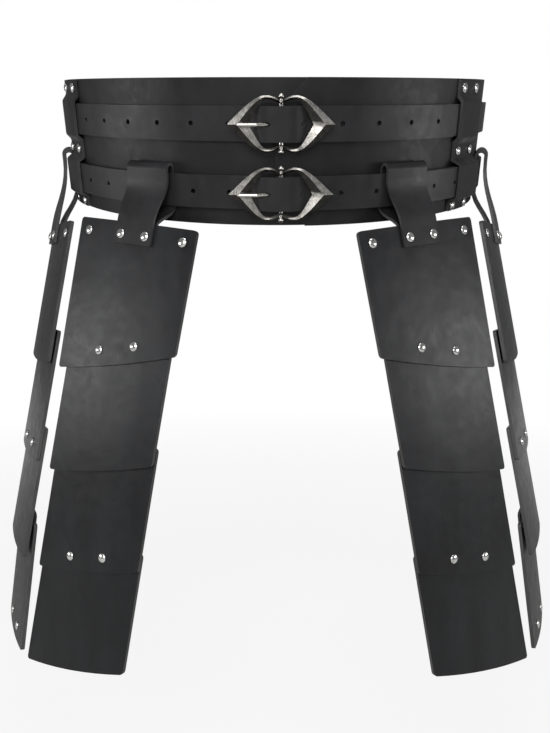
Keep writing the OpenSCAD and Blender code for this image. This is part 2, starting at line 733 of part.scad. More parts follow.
function rx(p, a) = [p[0], p[1] * cos(a) - p[2] * sin(a), p[1] * sin(a) + p[2] * cos(a)];
function ry(p, a) = [p[0] * cos(a) + p[2] * sin(a), p[1], p[2] * cos(a) - p[0] * sin(a)];
function rz(p, a) = [p[0] * cos(a) - p[1] * sin(a), p[0] * sin(a) + p[1] * cos(a), p[2]];

// A point of a plate's curved layer: x across, y behind the top plate's middle, z up
function bow_point(x, y, z) = let (a = asin(x / bow_r)) [(bow_r - y) * sin(a), bow_r - (bow_r - y) * cos(a), z];
// A point u outside the belt's inner face, at an angle counted on the front arc
function belt_point(side, az, u, z) = let (depth = front_depth(side), rad = arc_r(depth), end = arc_end(depth))
  az < end ? [(rad + u) * sin(az), arc_y(depth) - (rad + u) * cos(az), z]
  : let (a = end + (az - end) * rad / side_r) [side_x + (side_r + u) * sin(a), -(side_r + u) * cos(a), z];
// From a column's frame to the belt's
function column_point(side, az, swing, lean, p) = let (rad = arc_r(front_depth(side)) + hinge_off)
  rz(rx(ry(p, lean), -swing), az) + [rad * sin(az), arc_y(front_depth(side)) - rad * cos(az), hinge_z];
function bent(p, top, depth, bend) = let (edge = [0, depth - plate_t / 2, -top]) rx(p - edge, bend) + edge;
function front_point(side, n, x, y, v) = let (
    p = bow_point(x, y, -v),
    q = n < 3 ? p : bent(p, front_top(3), front_depths[2], front_bend))
  column_point(side, front_az(side), front_swing, 0, q);
function side_point(side, n, x, y, v) = let (
    p = bow_point(x, y, -v),
    q = n < 4 ? p : bent(p, side_top(4), side_depths[3], side_foot_bend),
    r = n < 2 ? q : bent(q, side_top(2), side_depths[1], side_bend))
  column_point(side, side_az(side), side_swing, side_lean, r - [side_shift, 0, 0]);

// Points between two straight ends, each given by its last two points
function joined(a0, a1, b0, b1, reach, steps) = let (d = norm(b0 - a1) * reach)
  [for (i = [0 : steps]) bezier([a1, a1 + unit(a1 - a0) * d, b0 + unit(b0 - b1) * d, b0], i / steps)];

module loft(grid, t) {
  rows = len(grid);
  cols = len(grid[0]);
  off = [for (i = [0 : rows - 1]) [for (k = [0 : cols - 1]) let (
    along = grid[min(i + 1, rows - 1)][k] - grid[max(i - 1, 0)][k],
    across = grid[i][min(k + 1, cols - 1)] - grid[i][max(k - 1, 0)])
    unit(cross(along, across)) * t / 2]];
  points = [for (i = [0 : rows - 1]) each concat([for (k = [0 : cols - 1]) grid[i][k] + off[i][k]],
                                                 [for (k = [cols - 1 : -1 : 0]) grid[i][k] - off[i][k]])];
  m = 2 * cols;
  skin = [for (i = [0 : rows - 2]) for (j = [0 : m - 1]) let (a = i * m + j, b = i * m + (j + 1) % m)
    each [[a, b, b + m], [a, b + m, a + m]]];
  ends = [for (k = [0 : cols - 2]) let (a = k, b = k + 1, c = m - 2 - k, d = m - 1 - k, e = (rows - 1) * m)
    each [[a, d, c], [a, c, b], [e + a, e + c, e + d], [e + a, e + b, e + c]]];
  polyhedron(points, concat(skin, ends));
}

module handed(side) {
  worn() mirror([side < 0 ? 1 : 0, 0, 0]) children();
}

// Hangers: folded over the lower strap, with the plate between the two plies

fold_u = hinge_off;
fold_z = lower_strap_z + strap_w / 2 + fold_lift;
ply_r = (fold_gap + hanger_t) / 2;
ply_y = plate_t / 2 + seat_gap + hanger_t / 2;
strap_foot = lower_strap_z - strap_w / 2 - 1;

// One lengthwise line of a hanger, from the inner ply's end over the fold to the
// outer ply's end. The caller gives the line's ends in the column's frame.
function hanger_line(side, az, in0, in1, out1, out0) = concat(
  [in0],
  joined(in0, in1, belt_point(side, az, fold_u - ply_r, strap_foot),
         belt_point(side, az, fold_u - ply_r, strap_foot + 5), 0.35, 6),
  [for (i = [0 : 10]) belt_point(side, az, fold_u - ply_r * cos(i * 18), fold_z + ply_r * sin(i * 18))],
  joined(belt_point(side, az, fold_u + ply_r, fold_z), belt_point(side, az, fold_u + ply_r, fold_z - 6),
         out1, out0, 0.35, 8),
  [out0]);

hanger_xs = [for (k = [0 : 6]) (k / 6 - 0.5) * hanger_w];
// A hanger's inner ply is a little narrower at its end than the outer one
inner_share = 0.88;
function belt_az(side, az, x) = az + front_deg(side, x);

module front_hanger(side) {
  grid = [for (x = hanger_xs) let (x_in = inner_share * x - front_strap_x, x_out = x - front_strap_x)
    hanger_line(side, belt_az(side, front_az(side) - front_hanger_turn, x),
      front_point(side, 1, x_in, ply_y, front_drop + hanger_lap), front_point(side, 1, x_in, ply_y, front_drop + 2),
      front_point(side, 1, x_out, -ply_y, front_drop - 3),
      front_point(side, 1, x_out, -ply_y, front_drop + hanger_lap))];
  color(leather) difference() {
    handed(side) loft(turned(grid), hanger_t);
    at_front(side) at_head_rivets(front_drop, front_top_w, false) bore(shank_r + shank_clear, 40);
  }
}

module side_hanger(side) {
  grid = [for (x = hanger_xs) hanger_line(side, belt_az(side, side_hanger_az, x),
    side_point(side, 1, inner_share * x + side_strap_x, ply_y, side_drop + hanger_lap),
    side_point(side, 1, inner_share * x + side_strap_x, ply_y, side_drop + 2),
    side_point(side, 1, x + side_strap_x, -ply_y, side_drop - 3),
    side_point(side, 1, x + side_strap_x, -ply_y, side_drop + hanger_lap))];
  color(leather) difference() {
    handed(side) loft(turned(grid), hanger_t);
    at_side(side) at_side_hanger_rivets() bore(shank_r + shank_clear, 40);
  }
}

function turned(grid) = [for (i = [0 : len(grid[0]) - 1]) [for (line = grid) line[i]]];

// Link straps: pairs of short straps behind the plates that carry the plate below
link_xs = [for (k = [0 : 3]) (k / 3 - 0.5) * link_w];
link_end = 7.5;
link_back = plate_t / 2 + seat_gap + link_t / 2;

module front_links(side) {
  y_up = front_depths[1] + link_back;
  y_low = front_depths[2] + link_back;
  top = front_top(3);
  color(leather) difference() {
    for (s = [-1, 1]) {
      middle = s * foot_rivet_gap / 2 - front_strap_x;
      v = front_foot(1) - rivet_edge - 1 + middle * front_slant / front_top_w;
      grid = [for (x = link_xs + middle * [1, 1, 1, 1]) concat(
        [front_point(side, 1, x, y_up, v - link_end)],
        joined(front_point(side, 1, x, y_up, top - 20), front_point(side, 1, x, y_up, top - 14),
               front_point(side, 3, x, y_low, top - 2), front_point(side, 3, x, y_low, top + 12), 0.35, 5),
        [front_point(side, 3, x, y_low, top + rivet_edge + link_end)])];
      handed(side) loft(turned(grid), link_t);
    }
    at_front(side) {
      at_foot_rivets(front_foot(1), front_top_w, front_slant, front_strap_x) bore(shank_r + shank_clear, 60);
      front_bent(3) at_link_rivets(top, foot_rivet_gap, front_strap_x) bore(shank_r + shank_clear, 60);
    }
  }
}

module side_upper_links(side) {
  y_up = ply_y + hanger_t / 2 + seat_gap + link_t / 2;
  y_low = side_depths[1] + link_back;
  top = side_top(2);
  color(leather) difference() {
    for (s = [-1, 1]) {
      grid = [for (x = link_xs + (side_strap_x + s * hanger_rivet_gap / 2) * [1, 1, 1, 1]) concat(
        [side_point(side, 1, x, y_up, side_drop + rivet_edge - link_end)],
        joined(side_point(side, 1, x, y_up, top - 20), side_point(side, 1, x, y_up, top - 14),
               side_point(side, 2, x, y_low, top - 2), side_point(side, 2, x, y_low, top + 12), 0.35, 5),
        [side_point(side, 2, x, y_low, top + rivet_edge + link_end)])];
      handed(side) loft(turned(grid), link_t);
    }
    at_side(side) {
      at_side_hanger_rivets() bore(shank_r + shank_clear, 60);
      side_bent(2) at_side_link_rivets(top) bore(shank_r + shank_clear, 60);
    }
  }
}

module side_lower_links(side) {
  y_up = side_depths[2] + link_back;
  y_low = side_depths[3] + link_back;
  top = side_top(4);
  color(leather) difference() {
    for (s = [-1, 1]) {
      grid = [for (x = link_xs + s * foot_rivet_gap / 2 * [1, 1, 1, 1]) concat(
        [side_point(side, 2, x, y_up, side_foot(2) - rivet_edge - 1 - link_end)],
        joined(side_point(side, 2, x, y_up, top - 20), side_point(side, 2, x, y_up, top - 14),
               side_point(side, 4, x, y_low, top - 2), side_point(side, 4, x, y_low, top + 12), 0.35, 5),
        [side_point(side, 4, x, y_low, top + rivet_edge + link_end)])];
      handed(side) loft(turned(grid), link_t);
    }
    at_side(side) {
      side_bent(2) at_foot_rivets(side_foot(2), side_w, 0) bore(shank_r + shank_clear, 60);
      side_bent(4) at_link_rivets(top, foot_rivet_gap) bore(shank_r + shank_clear, 60);
    }
  }
}

// Rivets of the columns, one group for each part that moves

ply_face = ply_y + hanger_t / 2;

module front_upper_rivets(side) {
  color(nickel) at_front(side) {
    at_head_rivets(front_drop, front_top_w, false) rivet(-ply_face, ply_face);
    at_head_rivets(front_drop, front_top_w, true) rivet(-plate_t / 2, plate_t / 2);
    at_foot_rivets(front_foot(1), front_top_w, front_slant, front_strap_x)
      rivet(-plate_t / 2, front_depths[1] + link_back + link_t / 2);
  }
}

module front_lower_rivets(side) {
  color(nickel) at_front(side) front_bent(3) {
    at_link_rivets(front_top(3), foot_rivet_gap, front_strap_x)
      flat_rivet(front_depths[2] - plate_t / 2, front_depths[2] + link_back + link_t / 2);
    at_foot_rivets(front_foot(3), front_low_w, front_slant)
      rivet(front_depths[2] - plate_t / 2, front_depths[3] + plate_t / 2);
  }
}

module side_upper_rivets(side) {
  color(nickel) at_side(side) {
    at_side_hanger_rivets() rivet(-ply_face, ply_face + seat_gap + link_t);
    at_side_lone_rivet() rivet(-plate_t / 2, plate_t / 2);
  }
}

module side_middle_rivets(side) {
  color(nickel) at_side(side) side_bent(2) {
    at_side_link_rivets(side_top(2))
      flat_rivet(side_depths[1] - plate_t / 2, side_depths[1] + link_back + link_t / 2);
    at_foot_rivets(side_foot(2), side_w, 0)
      rivet(side_depths[1] - plate_t / 2, side_depths[2] + link_back + link_t / 2);
  }
}

module side_lower_rivets(side) {
  color(nickel) at_side(side) side_bent(4) {
    at_link_rivets(side_top(4), foot_rivet_gap)
      flat_rivet(side_depths[3] - plate_t / 2, side_depths[3] + link_back + link_t / 2);
    at_foot_rivets(side_foot(4), side_w, 0)
      rivet(side_depths[3] - plate_t / 2, side_depths[3] + plate_t / 2);
  }
}

wide_belt();
strap(upper_strap_z, upper_space, upper_tail_end);  // upper_strap
strap(lower_strap_z, lower_space, lower_tail_end);  // lower_strap
buckle(upper_strap_z, upper_space);  // upper_buckle
buckle(lower_strap_z, lower_space);  // lower_buckle
prong(upper_strap_z, upper_space);  // upper_prong
prong(lower_strap_z, lower_space);  // lower_prong
left_keeper();
right_keeper();
rear_keeper(left);  // rear_left_keeper
rear_keeper(right);  // rear_right_keeper
keeper_rivets(left);  // left_keeper_rivets
keeper_rivets(right);  // right_keeper_rivets
rear_rivets(left);  // rear_left_keeper_rivets
rear_rivets(right);  // rear_right_keeper_rivets
front_hanger(left);  // front_left_hanger
front_plate(left, 1);  // front_left_plate_1
front_plate(left, 2);  // front_left_plate_2
front_plate(left, 3);  // front_left_plate_3
front_plate(left, 4);  // front_left_plate_4
front_upper_rivets(left);  // front_left_upper_rivets
front_lower_rivets(left);  // front_left_lower_rivets
front_links(left);  // front_left_links
front_hanger(right);  // front_right_hanger
front_plate(right, 1);  // front_right_plate_1
front_plate(right, 2);  // front_right_plate_2
front_plate(right, 3);  // front_right_plate_3
front_plate(right, 4);  // front_right_plate_4
front_upper_rivets(right);  // front_right_upper_rivets
front_lower_rivets(right);  // front_right_lower_rivets
front_links(right);  // front_right_links
side_hanger(left);  // side_left_hanger
side_plate(left, 1);  // side_left_plate_1
side_plate(left, 2);  // side_left_plate_2
side_plate(left, 3);  // side_left_plate_3
side_plate(left, 4);  // side_left_plate_4
side_upper_rivets(left);  // side_left_upper_rivets
side_middle_rivets(left);  // side_left_middle_rivets
side_lower_rivets(left);  // side_left_lower_rivets
side_upper_links(left);  // side_left_upper_links
side_lower_links(left);  // side_left_lower_links
side_hanger(right);  // side_right_hanger
side_plate(right, 1);  // side_right_plate_1
side_plate(right, 2);  // side_right_plate_2
side_plate(right, 3);  // side_right_plate_3
side_plate(right, 4);  // side_right_plate_4
side_upper_rivets(right);  // side_right_upper_rivets
side_middle_rivets(right);  // side_right_middle_rivets
side_lower_rivets(right);  // side_right_lower_rivets
side_upper_links(right);  // side_right_upper_links
side_lower_links(right);  // side_right_lower_links
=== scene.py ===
import json
import math

import bpy
import numpy as np
from mathutils import Matrix, Vector

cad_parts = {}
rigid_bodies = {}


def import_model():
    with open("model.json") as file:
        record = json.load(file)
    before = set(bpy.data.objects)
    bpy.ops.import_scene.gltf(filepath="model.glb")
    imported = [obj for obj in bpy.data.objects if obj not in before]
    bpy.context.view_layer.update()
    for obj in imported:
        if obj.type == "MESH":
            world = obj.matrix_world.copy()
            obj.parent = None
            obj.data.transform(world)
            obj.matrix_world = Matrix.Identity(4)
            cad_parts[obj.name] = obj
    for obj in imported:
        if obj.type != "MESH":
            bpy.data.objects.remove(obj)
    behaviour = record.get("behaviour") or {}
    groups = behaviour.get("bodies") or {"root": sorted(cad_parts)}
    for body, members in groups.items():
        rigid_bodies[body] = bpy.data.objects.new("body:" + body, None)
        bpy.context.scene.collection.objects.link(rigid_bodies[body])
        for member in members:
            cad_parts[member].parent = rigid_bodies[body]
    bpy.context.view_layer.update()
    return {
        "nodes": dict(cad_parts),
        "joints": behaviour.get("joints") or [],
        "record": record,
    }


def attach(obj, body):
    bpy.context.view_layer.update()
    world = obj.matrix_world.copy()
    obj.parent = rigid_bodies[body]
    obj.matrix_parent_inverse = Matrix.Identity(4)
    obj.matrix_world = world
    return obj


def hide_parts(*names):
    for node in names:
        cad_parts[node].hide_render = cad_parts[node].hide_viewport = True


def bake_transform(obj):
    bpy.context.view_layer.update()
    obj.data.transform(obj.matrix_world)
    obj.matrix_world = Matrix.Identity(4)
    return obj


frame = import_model()
nodes = frame["nodes"]
record = frame["record"]
SLOT_OF = {part["node"]: part["material_slot"] for part in record["subparts"]}
BODY_OF = {node: body for body, members in record["behaviour"]["bodies"].items() for node in members}
HINGE = {joint["name"]: Vector(joint["pos_m"]) for joint in frame["joints"]}

# Lengths are in metres. Names that end in _mm or _MM hold millimetres
MM = 0.001
SIDES = ("left", "right")
# Tilt of the worn belt, front edge lower than the back
BELT_PITCH = math.radians(18)
BELT_UP = Vector((0, -math.sin(BELT_PITCH), math.cos(BELT_PITCH)))
# Cosines past which a face looks along a direction, and under which it stands edge-on to it
ALONG = 0.7
EDGE_ON = 0.5


# Work on one piece or on several
def deselect():
    if bpy.context.object and bpy.context.object.mode != "OBJECT":
        bpy.ops.object.mode_set(mode="OBJECT")
    bpy.ops.object.select_all(action="DESELECT")


def make_active(piece):
    deselect()
    piece.select_set(True)
    bpy.context.view_layer.objects.active = piece


def duplicate(piece):
    make_active(piece)
    bpy.ops.object.duplicate()
    return bpy.context.view_layer.objects.active


def delete(piece):
    make_active(piece)
    bpy.ops.object.delete()


def edit(piece):
    make_active(piece)
    bpy.ops.object.mode_set(mode="EDIT")


def apply_place():
    bpy.ops.object.transform_apply(location=True, rotation=True, scale=True)


def apply_modifier(piece, kind, **settings):
    make_active(piece)
    modifier = piece.modifiers.new(kind.title(), kind)
    for key, value in settings.items():
        setattr(modifier, key, value)
    bpy.ops.object.modifier_apply(modifier=modifier.name)


def rename(piece, name):
    piece.name = name
    piece.data.name = name


def join(pieces, name):
    deselect()
    for piece in pieces:
        piece.select_set(True)
    bpy.context.view_layer.objects.active = pieces[0]
    if len(pieces) > 1:
        bpy.ops.object.join()
    rename(pieces[0], name)
    return pieces[0]


def smooth(piece, angle):
    make_active(piece)
    bpy.ops.object.shade_smooth_by_angle(angle=math.radians(angle))


# Materials
WHITE = "#ffffff"
# Socket numbers on a Mix node that mixes colours
FACTOR, FIRST, SECOND, MIXED = 0, 6, 7, 2
# Patterns: patch size in millimetres, layers of detail, their roughness and any stretch
CLOUDS = (60, 4, 0.6)
STREAKS = (26, 3, 0.55, (1, 1, 0.22))
RUBS = (9, 5, 0.65)
WAVES = (34, 2, 0.5)
WRINKLES = (3.2, 5, 0.7)
TONES = (4, 5, 0.65)
PITS = (1.6, 5, 0.7)
# Grain cells on the hide are about 0.5 mm across, and drawn at twice that so that they show
GRAIN_MM = 1.1
# Depths of the hide's grain, wrinkles and waves, and of the scratches in metal
GRAIN_DEPTH = 0.12 * MM
WRINKLE_DEPTH = 0.2 * MM
WAVE_DEPTH = 1.6 * MM
SCRATCH_DEPTH = 0.05 * MM
# A point is in a hollow where other metal is nearer than this
HOLLOW = 5 * MM
# Painted shade on faces that look down, by the Z of a surface's normal: none above the first
# value, and nearly whole below the second
PAINTED_SHADE_BELOW = {"From Min": -0.33, "From Max": -0.45, "To Max": 0.93}


def hex_colour(text):
    """The linear colour of an sRGB hex value."""
    channels = [int(text[i:i + 2], 16) / 255 for i in (1, 3, 5)]
    linear = [c / 12.92 if c <= 0.04045 else ((c + 0.055) / 1.055) ** 2.4 for c in channels]
    return (*linear, 1)


def set_stops(marks, stops):
    """Stops are (place, colour) pairs, and a colour is a hex value or a grey level."""
    while len(marks) < len(stops):
        marks.new(1)
    for mark, (at, colour) in zip(marks, stops):
        mark.position = at
        mark.color = hex_colour(colour) if isinstance(colour, str) else (colour, colour, colour, 1)


def add(tree, kind, settings=None, links=None):
    """A node with its settings and the links into it. A link comes from a socket, or from
    the first output of a node."""
    node = tree.nodes.new(kind)
    for key, value in (settings or {}).items():
        if key == "stops":
            set_stops(node.color_ramp.elements, value)
        elif isinstance(key, str) and hasattr(node, key):
            setattr(node, key, value)
        else:
            node.inputs[key].default_value = hex_colour(value) if isinstance(value, str) else value
    for key, source in (links or {}).items():
        tree.links.new(source.outputs[0] if hasattr(source, "outputs") else source, node.inputs[key])
    return node


def new_material(name):
    """An empty material and its node tree."""
    material = bpy.data.materials.new(name)
    material.use_nodes = True
    material.node_tree.nodes.clear()
    return material, material.node_tree


def mottle(tree, place, size_mm, detail, rough, stretch=(1, 1, 1)):
    """Patches that are size_mm across, and longer along an axis where stretch is under 1."""
    where = add(tree, "ShaderNodeMapping", {"Scale": stretch}, {"Vector": place})
    look = {"Scale": 1 / (size_mm * MM), "Detail": detail, "Roughness": rough}
    return add(tree, "ShaderNodeTexNoise", look, {"Vector": where})


def leather(name, dark, mid, light, roughness, grain, gloss):
    """Drum-dyed cow hide with a waxed finish: a fine pebbled grain, soft clouds where the
    dye took more or less, and faint creases and rubs."""
    material, tree = new_material(name)
    place = add(tree, "ShaderNodeTexCoord").outputs["Object"]
    clouds = mottle(tree, place, *CLOUDS)
    streaks = mottle(tree, place, *STREAKS)
    rubs = mottle(tree, place, *RUBS)
    clouded = add(tree, "ShaderNodeValToRGB", {"stops": ((0.3, dark), (0.52, mid), (0.75, light))},
                  {"Fac": clouds})
    bands = add(tree, "ShaderNodeValToRGB", {"stops": ((0.3, dark), (0.7, light))}, {"Fac": streaks})
    streaked = add(tree, "ShaderNodeMix", {"data_type": "RGBA", FACTOR: 0.5},
                   {FIRST: clouded, SECOND: bands}).outputs[MIXED]
    rubbed = add(tree, "ShaderNodeValToRGB", {"stops": ((0.5, 0.0), (0.85, 0.35))}, {"Fac": rubs})
    colour = add(tree, "ShaderNodeMix", {"data_type": "RGBA", SECOND: light},
                 {FACTOR: rubbed, FIRST: streaked}).outputs[MIXED]
    sheen = add(tree, "ShaderNodeValToRGB", {"stops": ((0.3, roughness[0]), (0.7, roughness[1]))},
                {"Fac": rubs})
    cells = add(tree, "ShaderNodeTexVoronoi", {"feature": "SMOOTH_F1", "Scale": 1 / (GRAIN_MM * MM)},
                {"Vector": place})
    waves = mottle(tree, place, *WAVES)
    wrinkles = mottle(tree, place, *WRINKLES)
    fine = add(tree, "ShaderNodeBump", {"Strength": 0.16 * grain, "Distance": GRAIN_DEPTH},
               {"Height": cells})
    middle = add(tree, "ShaderNodeBump", {"Strength": 0.3 * grain, "Distance": WRINKLE_DEPTH},
                 {"Height": wrinkles, "Normal": fine})
    broad = add(tree, "ShaderNodeBump", {"Strength": 0.5, "Distance": WAVE_DEPTH},
                {"Height": waves, "Normal": middle})
    hide = add(tree, "ShaderNodeBsdfPrincipled", {"Specular IOR Level": gloss},
               {"Base Color": colour, "Roughness": sheen, "Normal": broad})
    add(tree, "ShaderNodeOutputMaterial", None, {"Surface": hide})
    return material


def patina_and_painted_shade(tree, colour, patina_and_shade_colour, pits):
    """Black patina stays in the hollows, which a polishing wheel passes over. The flanks that
    face down get painted shade in the same dark colour."""
    openness = add(tree, "ShaderNodeAmbientOcclusion", {"Distance": HOLLOW, "samples": 8}).outputs["AO"]
    rubbed = add(tree, "ShaderNodeMath", {"operation": "ADD"}, {0: openness, 1: pits})
    hollow = add(tree, "ShaderNodeValToRGB", {"stops": ((0.55, 1.0), (5 / 6, 0.0))}, {"Fac": rubbed})
    in_hollows = add(tree, "ShaderNodeMix", {"data_type": "RGBA", SECOND: patina_and_shade_colour},
                     {FACTOR: hollow, FIRST: colour}).outputs[MIXED]
    # Painted shade: faces that look down are darkened to the patina colour
    facing = add(tree, "ShaderNodeTexCoord").outputs["Normal"]
    upward = add(tree, "ShaderNodeSeparateXYZ", None, {0: facing}).outputs["Z"]
    below = add(tree, "ShaderNodeMapRange", PAINTED_SHADE_BELOW, {"Value": upward})
    return add(tree, "ShaderNodeMix", {"data_type": "RGBA", SECOND: patina_and_shade_colour},
               {FACTOR: below, FIRST: in_hollows}).outputs[MIXED]


def metal(name, dark, light, roughness, scratch_mm, stretch, patina_and_shade_colour=None):
    """Metal with a slightly uneven tone and fine scratches that are scratch_mm wide."""
    material, tree = new_material(name)
    place = add(tree, "ShaderNodeTexCoord").outputs["Object"]
    colour = add(tree, "ShaderNodeValToRGB", {"stops": ((0.3, dark), (0.65, light))},
                 {"Fac": mottle(tree, place, *TONES)})
    # Black patina in the hollows, and painted shade on faces that look down
    if patina_and_shade_colour:
        colour = patina_and_painted_shade(tree, colour, patina_and_shade_colour, mottle(tree, place, *PITS))
    scratches = mottle(tree, place, scratch_mm, 4, 0.7, stretch)
    shine = add(tree, "ShaderNodeValToRGB", {"stops": ((0.3, roughness[0]), (0.7, roughness[1]))},
                {"Fac": scratches})
    bump = add(tree, "ShaderNodeBump", {"Strength": 0.25, "Distance": SCRATCH_DEPTH}, {"Height": scratches})
    surface = add(tree, "ShaderNodeBsdfPrincipled", {"Metallic": 1.0},
                  {"Base Color": colour, "Roughness": shine, "Normal": bump})
    add(tree, "ShaderNodeOutputMaterial", None, {"Surface": surface})
    return material


# Belt and keepers: smooth hide with a dull waxed finish
BLACK_HIDE = leather("black waxed leather", "#121213", "#18181a", "#232325", (0.4, 0.54), 1.0, 0.2)
# Plates: thick armour leather, cloudy grey-black and a little shinier than the belt
PLATE_HIDE = leather("black armour leather", "#101012", "#161719", "#212224", (0.34, 0.44), 1.2, 0.22)
# Straps and hangers: finer, tighter hide
STRAP_HIDE = leather("black bridle leather", "#131314", "#1b1b1d", "#272729", (0.38, 0.5), 0.8, 0.24)
# Cut edges, sanded and burnished, catch the light as a thin grey line
CUT_EDGE = leather("burnished leather edge", "#232222", "#383737", "#504f4f", (0.36, 0.5), 1.4, 0.5)
# Cast buckles: silvery high spots, black patina in the hollows and painted shade on faces that look down
PEWTER = metal("antique pewter with painted shade", "#8f8c87", "#d2cfc9", (0.22, 0.4), 0.6, (1, 1, 0.1), "#12110f")
# Rivet caps: bright and smooth
NICKEL = metal("polished nickel", "#b9b9b7", "#e4e4e2", (0.12, 0.22), 0.5, (1, 1, 1))
# Prongs: bright wire, drawn along its length
STEEL = metal("nickel-plated steel", "#b3b0aa", "#dedbd5", (0.16, 0.28), 0.4, (0.1, 1, 1))


# Pieces from the frame
# Corners nearer to each other than this are one
WELD = 0.02 * MM


def copied(node, name, flat_angle=0.8):
    """A copy of a CAD node's mesh with its loose triangles joined, ready to be shaped.
    Neighbours that lie within flat_angle degrees of each other become one face."""
    piece = duplicate(nodes[node])
    bpy.ops.object.parent_clear(type="CLEAR_KEEP_TRANSFORM")
    for key in list(piece.keys()):
        del piece[key]
    rename(piece, name)
    piece.data.materials.clear()
    edit(piece)
    bpy.ops.mesh.select_all(action="SELECT")
    bpy.ops.mesh.remove_doubles(threshold=WELD)
    bpy.ops.mesh.customdata_custom_splitnormals_clear()
    bpy.ops.mesh.dissolve_limited(angle_limit=math.radians(flat_angle))
    bpy.ops.mesh.select_all(action="DESELECT")
    bpy.ops.object.mode_set(mode="OBJECT")
    return piece


def main_normal(piece):
    """The direction that most of the piece's surface faces, sign left open."""
    total = np.zeros((3, 3))
    for face in piece.data.polygons:
        total += face.area * np.outer(face.normal, face.normal)
    return Vector(np.linalg.eigh(total)[1][:, 2])


def edge_on_to(way):
    """A test for the cut edges of a piece whose broad faces look along a way."""
    return lambda face: abs(face.normal.dot(way)) < EDGE_ON


def faces_along_height(face):
    """True on cut edges that face up or down the belt."""
    return abs(face.normal.dot(BELT_UP)) > ALONG


def faces_round_waist(face):
    """True on cut edges that face along the belt."""
    out = Vector((face.center.x, face.center.y, 0)).normalized()
    return abs(face.normal.dot(Vector((-out.y, out.x, 0)))) > ALONG


def paint(piece, skin, is_edge):
    """The hide on the faces and the burnished cut on the edges."""
    piece.data.materials.append(skin)
    piece.data.materials.append(CUT_EDGE)
    for face in piece.data.polygons:
        face.material_index = 1 if is_edge(face) else 0


def rounded(piece, edge_mm, corner=32):
    """Rounds the edges where faces meet at more than corner degrees."""
    apply_modifier(piece, "BEVEL", width=edge_mm * MM, segments=3, limit_method="ANGLE",
                   angle_limit=math.radians(corner), use_clamp_overlap=True, profile=0.6)
    smooth(piece, 50)
    apply_modifier(piece, "WEIGHTED_NORMAL", keep_sharp=True, weight=60)


def stands_for(piece, node, blend=None):
    """The piece rides where the node rides, or, given a blend, stays where it stands in the world, and
    hides the node.
    """
    if blend:
        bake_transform(piece)
    else:
        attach(piece, BODY_OF[node])
    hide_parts(node)


def dress(node, skin, is_edge=None, edge_mm=0.7, blend=None):
    """A leather piece made from its node, with burnished edges that are rounded by edge_mm."""
    piece = copied(node, node + "_hide")
    paint(piece, skin, is_edge or edge_on_to(main_normal(piece)))
    rounded(piece, edge_mm)
    stands_for(piece, node, blend)


dress("wide_belt", BLACK_HIDE, faces_along_height, edge_mm=0.8)
for node in ("upper_strap", "lower_strap"):
    dress(node, STRAP_HIDE, faces_along_height, edge_mm=0.55)
for node in ("left_keeper", "right_keeper", "rear_left_keeper", "rear_right_keeper"):
    dress(node, BLACK_HIDE, faces_round_waist, edge_mm=0.6)
for column in ("front", "side"):
    for side in SIDES:
        for number in range(1, 5):
            dress(f"{column}_{side}_plate_{number}", PLATE_HIDE)

# A hanger bends from just under its hinge to where the top plate clamps it. A link strap
# bends at the hinge of the plate that it carries.
HANGER_BENDS_FROM = 6 * MM
HANGER_BENDS_TO = {"front": 34 * MM, "side": 52 * MM}
LINK_BENDS_ABOVE = 14 * MM
LINK_BENDS_BELOW = 2 * MM
# Each column's link straps from the top: node, joint, body above and body below
LINKS = {"front": (("links", "link", "upper", "lower"),),
         "side": (("upper_links", "upper_link", "upper", "middle"),
                  ("lower_links", "lower_link", "middle", "lower"))}
for column, links in LINKS.items():
    for side in SIDES:
        name = f"{column}_{side}_"
        hang = HINGE[name + "hang"]
        first_joint = links[0][1]
        down = (HINGE[name + first_joint] - hang).normalized()
        bend = (hang + down * HANGER_BENDS_FROM, hang + down * HANGER_BENDS_TO[column])
        dress(name + "hanger", STRAP_HIDE, faces_round_waist, edge_mm=0.5,
              blend=("waist", name + "upper", *bend))
        for strap, joint, above, below in links:
            hinge = HINGE[name + joint]
            bend = (hinge - down * LINK_BENDS_ABOVE, hinge + down * LINK_BENDS_BELOW)
            dress(name + strap, STRAP_HIDE, faces_round_waist, edge_mm=0.4,
                  blend=(name + above, name + below, *bend))

# Rivets: one turned cap or flat head, shank and washer, copied to where the CAD has them
# Thickness of a washer and of a flat head
WASHER_MM = 0.8
# A rivet that reaches further than this from its axis has a dome. Domes reach 4 mm, and
# flat heads and washers 3.2 mm
DOME_OVER_MM = 3.7
# Points this close to the furthest ones are on the dome's rim
RIM_MM = 0.1


def turned(name, profile):
    """A body turned about Z from (radius, height) pairs in millimetres, lowest first."""
    deselect()
    radius, height = profile[0]
    bpy.ops.mesh.primitive_circle_add(vertices=32, radius=radius * MM, location=(0, 0, height * MM),
                                      fill_type="NGON")
    piece = bpy.context.object
    piece.name = name
    apply_place()
    edit(piece)
    bpy.ops.mesh.select_all(action="SELECT")
    for next_radius, next_height in profile[1:]:
        bpy.ops.mesh.extrude_region_move(
            TRANSFORM_OT_translate={"value": (0, 0, (next_height - height) * MM)})
        grow = next_radius / radius
        bpy.ops.transform.resize(value=(grow, grow, 1), center_override=(0, 0, next_height * MM))
        radius, height = next_radius, next_height
    bpy.ops.mesh.select_all(action="SELECT")
    bpy.ops.mesh.normals_make_consistent(inside=False)
    bpy.ops.object.mode_set(mode="OBJECT")
    smooth(piece, 42)
    return piece


